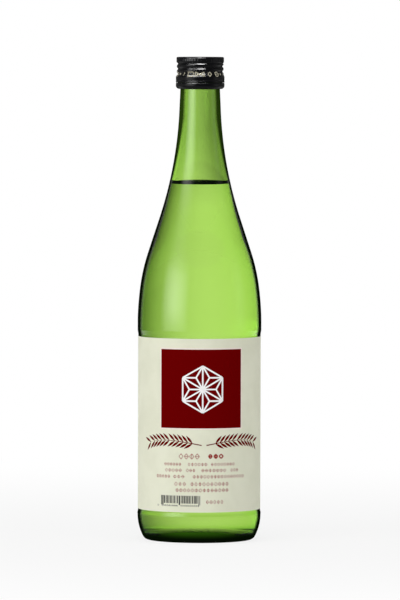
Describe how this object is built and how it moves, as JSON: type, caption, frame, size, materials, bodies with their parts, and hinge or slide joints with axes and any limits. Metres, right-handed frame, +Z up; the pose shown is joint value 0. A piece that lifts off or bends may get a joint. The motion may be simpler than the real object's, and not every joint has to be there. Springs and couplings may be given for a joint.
{
  "type": "sake bottle",
  "caption": "Filled 720 ml green glass sake bottle with a wrapped paper label and a roll-on screw cap that turns up off the neck and leaves its tamper band behind.",
  "frame": {"origin": "middle of the base, on the surface that the bottle stands on", "axes": "+Z up along the bottle's axis, -Y out of the front of the label, +X to the right as the label is read"},
  "size_m": [0.0768, 0.0768, 0.3],
  "materials": {
    "green_glass": "clear yellow-green container glass, glossy",
    "sake": "clear, very pale straw liquid",
    "label_paper": "uncoated cream washi-like paper with dark red and white print",
    "black_lacquered_aluminium": "gloss black lacquer on drawn aluminium",
    "foam_liner": "white closed-cell foam"
  },
  "bodies": {
    "bottle": {"glass_bottle": "green_glass", "sake_fill": "sake", "front_label": "label_paper", "tamper_band": "black_lacquered_aluminium"},
    "liner": {"cap_liner": "foam_liner"},
    "cap": {"cap_shell": "black_lacquered_aluminium"}
  },
  "joints": [
    {"name": "cap_rise", "type": "slide", "parent": "bottle", "child": "liner", "axis": [0, 0, 1], "range_m": [0, 0.0191]},
    {"name": "cap_turn", "type": "hinge", "parent": "liner", "child": "cap", "pos_m": [0, 0, 0.285], "axis": [0, 0, 1], "range_deg": [0, 2160]}
  ],
  "couplings": [
    {"joint": "cap_rise", "follows": "cap_turn", "m_per_rad": 0.00050532}
  ]
}
